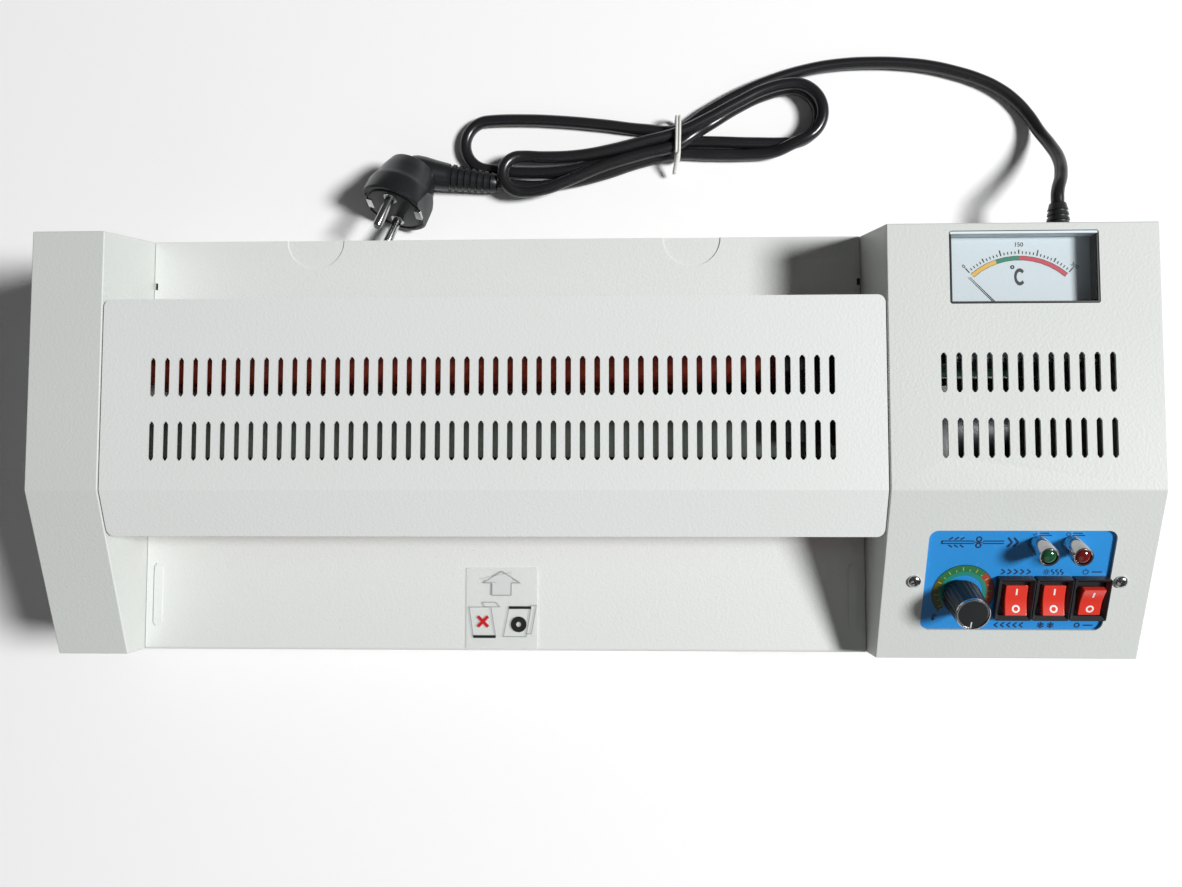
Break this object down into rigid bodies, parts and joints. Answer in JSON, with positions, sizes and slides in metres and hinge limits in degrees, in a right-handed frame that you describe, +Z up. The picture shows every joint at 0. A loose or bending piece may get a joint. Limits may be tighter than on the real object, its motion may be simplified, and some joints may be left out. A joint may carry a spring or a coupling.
{
  "type": "pouch laminator",
  "caption": "Long low sheet-metal pouch laminator with heated roller bed, slotted cover, needle thermometer, sloping blue control panel and mains cord.",
  "frame": {"origin": "on the table, under the middle of the machine without its cord", "axes": "+X to the right of the person who feeds the pouch, +Y towards the outlet, +Z up"},
  "size_m": [0.5, 0.3143, 0.1066],
  "materials": {
    "case_paint": "textured powder coat",
    "cover_paint": "textured powder coat",
    "tray_paint": "textured powder coat",
    "base_paint": "powder coat",
    "foot_rubber": "matte",
    "frame_steel": "zinc plated",
    "bearing_plastic": "satin",
    "silicone_red": "satin silicone",
    "shaft_steel": "ground",
    "gear_nylon": "satin",
    "motor_metal": "zinc plated",
    "heater_metal": "dull",
    "black_plastic": "satin",
    "needle_black": "satin",
    "board_green": "satin",
    "dial_white": "printed",
    "clear_acrylic": "clear",
    "panel_blue": "satin printed film",
    "rocker_red": "glossy",
    "chrome": "polished",
    "lens_green": "clear green",
    "lens_red": "clear red",
    "cord_black": "glossy vinyl",
    "pin_nickel": "nickel",
    "tie_white": "coated wire"
  },
  "bodies": {
    "case": {"left_housing": "case_paint", "right_housing": "case_paint", "top_cover": "cover_paint", "front_tray": "tray_paint", "rear_tray": "tray_paint", "base_pan": "base_paint", "foot_front_left": "foot_rubber", "foot_front_right": "foot_rubber", "foot_rear_left": "foot_rubber", "foot_rear_right": "foot_rubber", "side_frame_left": "frame_steel", "side_frame_right": "frame_steel", "board_bracket": "frame_steel", "bearing_block_left": "bearing_plastic", "bearing_block_right": "bearing_plastic", "gear_motor": "motor_metal", "potentiometer": "motor_metal", "heater_upper": "heater_metal", "heater_lower": "heater_metal", "thermostat_bracket": "black_plastic", "meter_case": "black_plastic", "switch_body_1": "black_plastic", "switch_body_2": "black_plastic", "switch_body_3": "black_plastic", "circuit_board": "board_green", "meter_dial": "dial_white", "meter_window": "clear_acrylic", "control_panel": "panel_blue", "lamp_bezel_ready": "chrome", "lamp_bezel_power": "chrome", "panel_screw_1": "chrome", "panel_screw_2": "chrome", "lamp_lens_ready": "lens_green", "lamp_lens_power": "lens_red", "cord_lead": "cord_black", "cord_hank": "cord_black", "cord_gland": "cord_black", "plug_body": "cord_black", "plug_pin_1": "pin_nickel", "plug_pin_2": "pin_nickel", "cord_tie": "tie_white"},
    "front_lower": {"roller_front_lower": "silicone_red", "shaft_front_lower": "shaft_steel", "gear_front_lower": "gear_nylon"},
    "front_upper": {"roller_front_upper": "silicone_red", "shaft_front_upper": "shaft_steel", "gear_front_upper": "gear_nylon"},
    "rear_lower": {"roller_rear_lower": "silicone_red", "shaft_rear_lower": "shaft_steel", "gear_rear_lower": "gear_nylon"},
    "rear_upper": {"roller_rear_upper": "silicone_red", "shaft_rear_upper": "shaft_steel", "gear_rear_upper": "gear_nylon"},
    "drive": {"drive_gear": "gear_nylon"},
    "rocker_1": {"rocker_1": "rocker_red"},
    "rocker_2": {"rocker_2": "rocker_red"},
    "rocker_3": {"rocker_3": "rocker_red"},
    "knob": {"knob": "black_plastic", "potentiometer_shaft": "shaft_steel"},
    "needle": {"meter_needle": "needle_black"}
  },
  "joints": [
    {"name": "front_lower_spin", "type": "hinge", "parent": "case", "child": "front_lower", "pos_m": [0, -0.026, 0.0433], "axis": [1, 0, 0], "continuous": true},
    {"name": "front_upper_spin", "type": "hinge", "parent": "case", "child": "front_upper", "pos_m": [0, -0.026, 0.0717], "axis": [1, 0, 0], "continuous": true},
    {"name": "rear_lower_spin", "type": "hinge", "parent": "case", "child": "rear_lower", "pos_m": [0, 0.04074, 0.0433], "axis": [1, 0, 0], "continuous": true},
    {"name": "rear_upper_spin", "type": "hinge", "parent": "case", "child": "rear_upper", "pos_m": [0, 0.04074, 0.0717], "axis": [1, 0, 0], "continuous": true},
    {"name": "drive_spin", "type": "hinge", "parent": "case", "child": "drive", "pos_m": [0.15, 0.00737, 0.0433], "axis": [1, 0, 0], "continuous": true},
    {"name": "rocker_1_tilt", "type": "hinge", "parent": "case", "child": "rocker_1", "pos_m": [0.19075, -0.07233, 0.08579], "axis": [1, 0, 0], "range_deg": [0, 22]},
    {"name": "rocker_2_tilt", "type": "hinge", "parent": "case", "child": "rocker_2", "pos_m": [0.2073, -0.07233, 0.08579], "axis": [1, 0, 0], "range_deg": [0, 22]},
    {"name": "rocker_3_tilt", "type": "hinge", "parent": "case", "child": "rocker_3", "pos_m": [0.22385, -0.07233, 0.08579], "axis": [-1, 0, 0], "range_deg": [0, 22]},
    {"name": "knob_turn", "type": "hinge", "parent": "case", "child": "knob", "pos_m": [0.16755, -0.07122, 0.08496], "axis": [0, 0.3907, -0.9205], "range_deg": [0, 290]},
    {"name": "needle_swing", "type": "hinge", "parent": "case", "child": "needle", "pos_m": [0.1922, 0.0479, 0.0973], "axis": [0, 0, -1], "range_deg": [0, 88], "stiffness_Nm_per_rad": 0.00001}
  ],
  "couplings": [
    {"joint": "front_upper_spin", "follows": "front_lower_spin", "ratio": -1},
    {"joint": "rear_lower_spin", "follows": "front_lower_spin", "ratio": 1},
    {"joint": "rear_upper_spin", "follows": "front_lower_spin", "ratio": -1},
    {"joint": "drive_spin", "follows": "front_lower_spin", "ratio": -0.74074}
  ]
}
